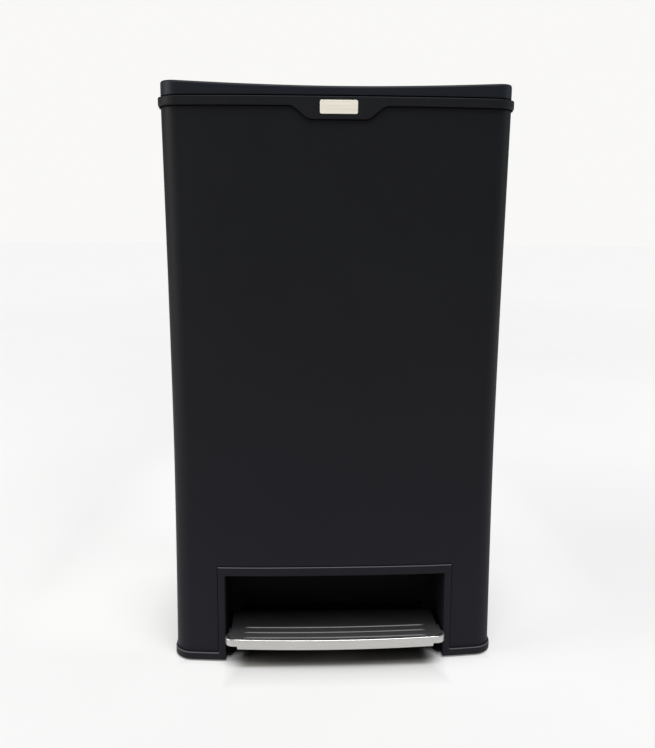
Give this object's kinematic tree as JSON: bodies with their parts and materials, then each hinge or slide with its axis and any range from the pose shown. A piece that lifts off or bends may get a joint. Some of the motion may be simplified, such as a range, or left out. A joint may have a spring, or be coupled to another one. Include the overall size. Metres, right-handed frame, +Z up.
{
  "type": "pedal trash can",
  "caption": "Tall rectangular foot-pedal waste bin with a lift-up bag ring, a hinged lid and a push rod from the pedal lever to the lid.",
  "frame": {"origin": "on the floor at the middle of the bounding box", "axes": "+Z up, the front with the pedal faces -Y, +X to the right seen from the front"},
  "size_m": [0.4, 0.336, 0.6841],
  "materials": {
    "body_plastic": "matte black with a fine moulded texture",
    "inner_plastic": "matte black, unpolished",
    "rubber": "dark grey rubber",
    "silver_trim": "satin silver",
    "badge_metal": "brushed, pale champagne, blank",
    "steel": "zinc-plated"
  },
  "bodies": {
    "body": {"outer_body": "body_plastic", "base_tray": "body_plastic", "pedal_pocket": "inner_plastic", "foot_1": "rubber", "foot_2": "rubber", "foot_3": "rubber", "foot_4": "rubber", "base_screw_1": "steel", "base_screw_2": "steel", "base_screw_3": "steel", "base_screw_4": "steel", "rod_cover": "body_plastic", "rod_cover_screw_lower": "steel", "rod_cover_screw_upper": "steel", "rod_guide_lower": "inner_plastic", "rod_guide_upper": "inner_plastic", "hinge_block": "body_plastic", "hinge_screw_left": "steel", "hinge_screw_right": "steel", "hinge_nut_left": "steel", "hinge_nut_right": "steel", "hinge_pin": "steel", "hinge_pin_clip": "steel", "pedal_axle": "steel", "axle_clip_left": "steel", "axle_clip_right": "steel"},
    "ring": {"bag_ring": "body_plastic", "badge_plate": "badge_metal"},
    "lid": {"lid_shell": "body_plastic", "lid_liner": "inner_plastic", "lid_lever": "steel", "lid_lever_screw_left": "steel", "lid_lever_screw_right": "steel", "lid_bumper_left": "rubber", "lid_bumper_right": "rubber"},
    "pedal": {"pedal_trim": "silver_trim", "pedal_pad": "rubber", "pedal_carrier": "inner_plastic", "pedal_lever": "steel", "pedal_screw_left": "steel", "pedal_screw_right": "steel"},
    "lift_rod": {"push_rod": "steel", "rod_foot": "inner_plastic", "rod_tip": "inner_plastic"}
  },
  "joints": [
    {"name": "ring_hinge", "type": "hinge", "parent": "body", "child": "ring", "pos_m": [0, 0.1623, 0.652], "axis": [-1, 0, 0], "range_deg": [0, 60]},
    {"name": "lid_hinge", "type": "hinge", "parent": "ring", "child": "lid", "pos_m": [0, 0.1623, 0.652], "axis": [-1, 0, 0], "range_deg": [0, 80]},
    {"name": "pedal_hinge", "type": "hinge", "parent": "body", "child": "pedal", "pos_m": [0, -0.044, 0.022], "axis": [1, 0, 0], "range_deg": [0, 8.9]},
    {"name": "rod_slide", "type": "slide", "parent": "body", "child": "lift_rod", "axis": [0, 0, 1], "range_m": [0, 0.029]}
  ],
  "couplings": [
    {"joint": "pedal_hinge", "follows": "lid_hinge", "ratio": 0.11},
    {"joint": "rod_slide", "follows": "lid_hinge", "m_per_rad": 0.0205}
  ]
}
